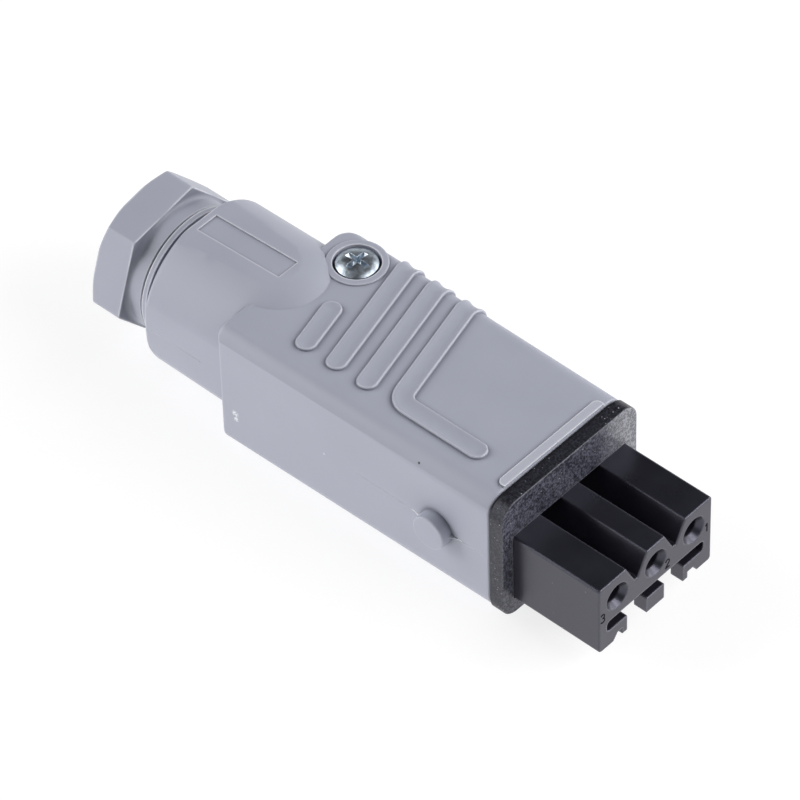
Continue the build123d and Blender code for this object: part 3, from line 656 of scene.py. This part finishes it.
def add_mould_lines(material):
    """Fine raised lines where the two halves of the mould met, on both flat sides of body and neck: beads on
    straight runs, whose height fades evenly towards the body's rear."""
    stud_rear = STUD_X - STUD_RADIUS
    stud_front = STUD_X + STUD_RADIUS
    neck_end_side = NECK_SIDE + NECK_SIDE_RISE * (MOULD_LINE_NECK_END - NECK_RIM)
    full = 1.0
    faint = MOULD_LINE_FAINT
    runs = {
        "rear": (MOULD_LINE_BODY_START, BODY_SIDE, faint, stud_rear, BODY_SIDE, full),
        "front": (stud_front, BODY_SIDE, full, MOULD_LINE_BODY_END, BODY_SIDE, full),
        "neck": (MOULD_LINE_NECK_START, NECK_SIDE, full, MOULD_LINE_NECK_END, neck_end_side, faint),
    }
    for side, name in ((-1.0, "right"), (1.0, "left")):
        for run, (x0, y0, share0, x1, y1, share1) in runs.items():
            begin = (x0, side * y0, MOULD_LINE_Z)
            finish = (x1, side * y1, MOULD_LINE_Z)
            path = straight(begin, finish, MOULD_LINE_POINTS)
            across = np.tile((0.0, 0.0, -side), (len(path), 1))
            out = np.tile((0.0, side, 0.0), (len(path), 1))
            height = MOULD_LINE_HEIGHT * np.linspace(share0, share1, len(path))
            points, faces = bead(path, across, out, MOULD_LINE_HALF_WIDTH, height)
            add_piece(f"mould_line_{run}_{name}", points, faces, material)


def add_stud_flash(material):
    """Thin fins beside each locking stud: a bead on the mould line whose height falls as the square of the
    distance left to its end."""
    for side, name in ((-1.0, "right"), (1.0, "left")):
        for way, end in ((-1.0, "rear"), (1.0, "front")):
            begin = (STUD_X + way * (STUD_RADIUS - FLASH_SINK), side * BODY_SIDE, MOULD_LINE_Z)
            finish = (STUD_X + way * (STUD_RADIUS + FLASH_LENGTH), side * BODY_SIDE, MOULD_LINE_Z)
            path = straight(begin, finish, FLASH_POINTS)
            share = np.linspace(1.0, 0.0, len(path))
            height = MOULD_LINE_HEIGHT + FLASH_HEIGHT * share**2
            across = np.tile((0.0, 0.0, -side * way), (len(path), 1))
            out = np.tile((0.0, side, 0.0), (len(path), 1))
            points, faces = bead(path, across, out, FLASH_HALF_WIDTH, height)
            add_piece(f"stud_flash_{end}_{name}", points, faces, material)


def number_line(number):
    """Middle line of a numeral one unit high: strokes and arcs joined end to end."""
    if number == 1:
        flag = straight((-0.2, 0.28), (0.02, 0.5), 8)
        return np.vstack((flag, straight((0.02, 0.48), (0.02, -0.5), 16)))
    if number == 2:
        bow = arc((0.0, 0.24), 0.26, 165.0, -40.0, 18)
        foot = straight(bow[-1], (-0.27, -0.5), 12)[1:]
        return np.vstack((bow, foot, straight((-0.26, -0.5), (0.29, -0.5), 10)))
    top = arc((0.0, 0.25), 0.25, 150.0, -90.0, 18)
    return np.vstack((top, arc((0.0, -0.25), 0.27, 88.0, -150.0, 18)))


def add_contact_numbers(material):
    """Raised numerals on the insert's front face: a flat bead carried along each numeral's middle line."""
    for number, (y, z) in NUMBER_PLACES.items():
        line = number_line(number) * NUMBER_HEIGHT
        path = np.column_stack((np.full(len(line), INSERT_FRONT), y + line[:, 0], z + line[:, 1]))
        along = np.gradient(path, axis=0)
        along = along / np.linalg.norm(along, axis=1)[:, None]
        out = np.tile((1.0, 0.0, 0.0), (len(path), 1))
        across = np.cross(out, along)
        points, faces = bead(path, -across, out, NUMBER_STROKE, NUMBER_RISE)
        add_piece(f"contact_number_{number}", points, faces, material)


def set_axes(item, right, up, back, place):
    """Stand an object at a place, with its own three axes along the given ones."""
    matrix = np.eye(4)
    matrix[:3, :] = np.column_stack((right, up, back, place))
    item.matrix_world = Matrix(matrix.tolist())


def add_camera():
    """Camera placed from azimuth, elevation, roll and the pixel where the aim point falls."""
    azimuth, elevation, roll = (math.radians(a) for a in (VIEW_AZIMUTH, VIEW_ELEVATION, VIEW_ROLL))
    back_x = math.sin(azimuth) * math.cos(elevation)
    back_y = -math.cos(azimuth) * math.cos(elevation)
    back = np.array((back_x, back_y, math.sin(elevation)))
    level = np.array((math.cos(azimuth), math.sin(azimuth), 0.0))
    upright = np.cross(back, level)
    right = math.cos(roll) * level + math.sin(roll) * upright
    up = -math.sin(roll) * level + math.cos(roll) * upright
    centre = IMAGE_SIZE / 2
    scale = VIEW_PIXELS_PER_MM / MM
    offset = (AIM_PIXEL[0] - centre) / scale * right - (AIM_PIXEL[1] - centre) / scale * up
    data = bpy.data.cameras.new("camera")
    data.sensor_width = SENSOR
    data.lens = scale * VIEW_DISTANCE / IMAGE_SIZE * SENSOR
    data.clip_start = CLIP_START
    data.clip_end = CLIP_END
    camera = bpy.data.objects.new("camera", data)
    link_to_scene(camera)
    set_axes(camera, right, up, back, AIM_POINT - offset + VIEW_DISTANCE * back)
    bpy.context.scene.camera = camera


def add_softbox(name, azimuth, elevation, distance, size, power):
    """Square softbox on a sphere round the part, facing its middle."""
    azimuth, elevation = math.radians(azimuth), math.radians(elevation)
    back_x = math.cos(azimuth) * math.cos(elevation)
    back_y = math.sin(azimuth) * math.cos(elevation)
    back = np.array((back_x, back_y, math.sin(elevation)))
    side = np.array((-math.sin(azimuth), math.cos(azimuth), 0.0))
    data = bpy.data.lights.new(name, "AREA")
    data.shape = "SQUARE"
    data.size = size
    data.energy = power
    light = bpy.data.objects.new(name, data)
    link_to_scene(light)
    set_axes(light, side, np.cross(back, side), back, np.array(PART_MIDDLE) + distance * back)


def seen_directly(tree):
    """1 for rays of the camera, of a reflection or through glass, 0 for the rays that light the part."""
    path = tree.nodes.new("ShaderNodeLightPath").outputs
    mirrored = math_node(tree, "MAXIMUM", path["Is Glossy Ray"], path["Is Transmission Ray"])
    return math_node(tree, "MAXIMUM", path["Is Camera Ray"], mirrored)


def add_world():
    """White low backdrop for direct sight and reflections under a dim studio ceiling."""
    world = bpy.data.worlds.new("studio")
    bpy.context.scene.world = world
    world.use_nodes = True
    tree = world.node_tree
    tree.nodes.clear()
    output = tree.nodes.new("ShaderNodeOutputWorld")
    direction = tree.nodes.new("ShaderNodeTexCoord").outputs["Generated"]
    above_backdrop = ramp(tree, split_xyz(tree, direction)["Z"], *BACKDROP_TOP)
    backdrop = mix_colour(tree, above_backdrop, BACKDROP_WHITE, CEILING_LIGHT)
    colour = mix_colour(tree, seen_directly(tree), CEILING_LIGHT, backdrop)
    background = tree.nodes.new("ShaderNodeBackground")
    tree.links.new(colour, background.inputs["Color"])
    tree.links.new(background.outputs[0], output.inputs["Surface"])


def add_floor():
    """Wide white floor just under the part that glows like a light table and takes a soft shadow."""
    corners = [(x * FLOOR_HALF, y * FLOOR_HALF, FLOOR_Z) for x, y in ((-1, -1), (1, -1), (1, 1), (-1, 1))]
    mesh = bpy.data.meshes.new("floor")
    mesh.from_pydata(corners, [], [(0, 1, 2, 3)])
    floor = bpy.data.objects.new("floor", mesh)
    link_to_scene(floor)
    material = bpy.data.materials.new("floor")
    material.use_nodes = True
    tree = material.node_tree
    tree.nodes.clear()
    output = tree.nodes.new("ShaderNodeOutputMaterial")
    matt = tree.nodes.new("ShaderNodeBsdfDiffuse")
    matt.inputs["Color"].default_value = (*FLOOR_WHITE, 1.0)
    glow = tree.nodes.new("ShaderNodeEmission")
    dimming = product(tree, seen_directly(tree), FLOOR_GLOW_SEEN - FLOOR_GLOW)
    tree.links.new(math_node(tree, "ADD", dimming, FLOOR_GLOW), glow.inputs["Strength"])
    mix = tree.nodes.new("ShaderNodeMixShader")
    mix.inputs["Fac"].default_value = FLOOR_GLOW_SHARE
    tree.links.new(matt.outputs[0], mix.inputs[1])
    tree.links.new(glow.outputs[0], mix.inputs[2])
    tree.links.new(mix.outputs[0], output.inputs["Surface"])
    mesh.materials.append(material)


finishes = dress_nodes()
flash_pale = mottled_skin("flash_pale", 500.0, FLASH_TONES, spread=0.16, least=0.4, specular=0.5)
number_black = mottled_skin("number_black", 900.0, NUMBER_TONES, spread=0.2, least=0.6, specular=0.12)
add_housing_shell(finishes["housing_grey"])
add_mould_lines(finishes["housing_grey"])
add_stud_flash(flash_pale)
add_contact_numbers(number_black)
add_camera()
add_world()
add_floor()
for name, settings in SOFTBOXES.items():
    add_softbox(name, *settings)

bpy.context.scene.view_settings.view_transform = "Standard"
